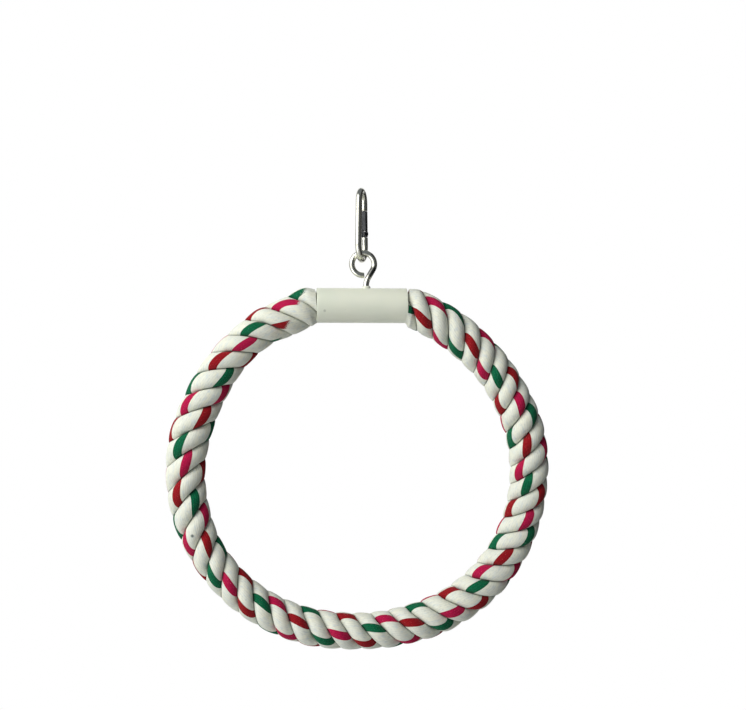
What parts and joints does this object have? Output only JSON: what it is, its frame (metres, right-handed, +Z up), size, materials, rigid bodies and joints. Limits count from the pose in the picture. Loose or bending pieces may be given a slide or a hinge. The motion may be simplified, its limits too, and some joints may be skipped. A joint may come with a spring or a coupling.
{
  "type": "rope ring perch",
  "caption": "Hanging bird perch: a wire-cored ring of thick three-strand cotton rope, closed by a plastic sleeve with a screw eye, on a small sprung snap clip.",
  "frame": {"origin": "the hanging point: the inside of the clip's top bend, where the bar that it hangs from bears", "axes": "+Z up, +X along the sleeve, the ring flat in the XZ plane with its front towards -Y"},
  "size_m": [0.2026, 0.02, 0.2465],
  "materials": {
    "cotton_rope": "undyed cotton yarn with single green, red and magenta yarns, dry and slightly fuzzy",
    "ivory_plastic": "smooth ivory tube, satin",
    "nickel_plate": "bright nickel plate on bent wire",
    "gate_steel": "darker plated steel",
    "spring_steel": "drawn steel",
    "beech_wood": "turned, bare",
    "cloth_tape": "woven whipping tape"
  },
  "bodies": {
    "clip": {"clip_body": "nickel_plate"},
    "gate": {"clip_gate": "gate_steel", "gate_rivet": "nickel_plate", "gate_spring": "spring_steel"},
    "plunger": {"gate_plunger": "spring_steel"},
    "ring": {"screw_eye": "nickel_plate", "joint_sleeve": "ivory_plastic", "joint_dowel": "beech_wood", "end_tape_left": "cloth_tape", "end_tape_right": "cloth_tape", "rope_ring": "cotton_rope", "core_wire": "spring_steel"}
  },
  "joints": [
    {"name": "ring_swing", "type": "hinge", "parent": "clip", "child": "ring", "pos_m": [0, 0, -0.03122], "axis": [1, 0, 0], "range_deg": [-70, 70]},
    {"name": "gate_hinge", "type": "hinge", "parent": "clip", "child": "gate", "pos_m": [0.00219, 0.00717, -0.02031], "axis": [0.9563, -0.2924, 0], "range_deg": [0, 35], "stiffness_Nm_per_rad": 0.0005, "springref_deg": -34.38},
    {"name": "plunger_slide", "type": "slide", "parent": "gate", "child": "plunger", "axis": [-0.0184, -0.0603, 0.998], "range_m": [0, 0.00053], "deforming": ["gate_spring"]}
  ],
  "couplings": [
    {"joint": "gate_hinge", "follows": "plunger_slide", "rad_per_m": 1152}
  ]
}
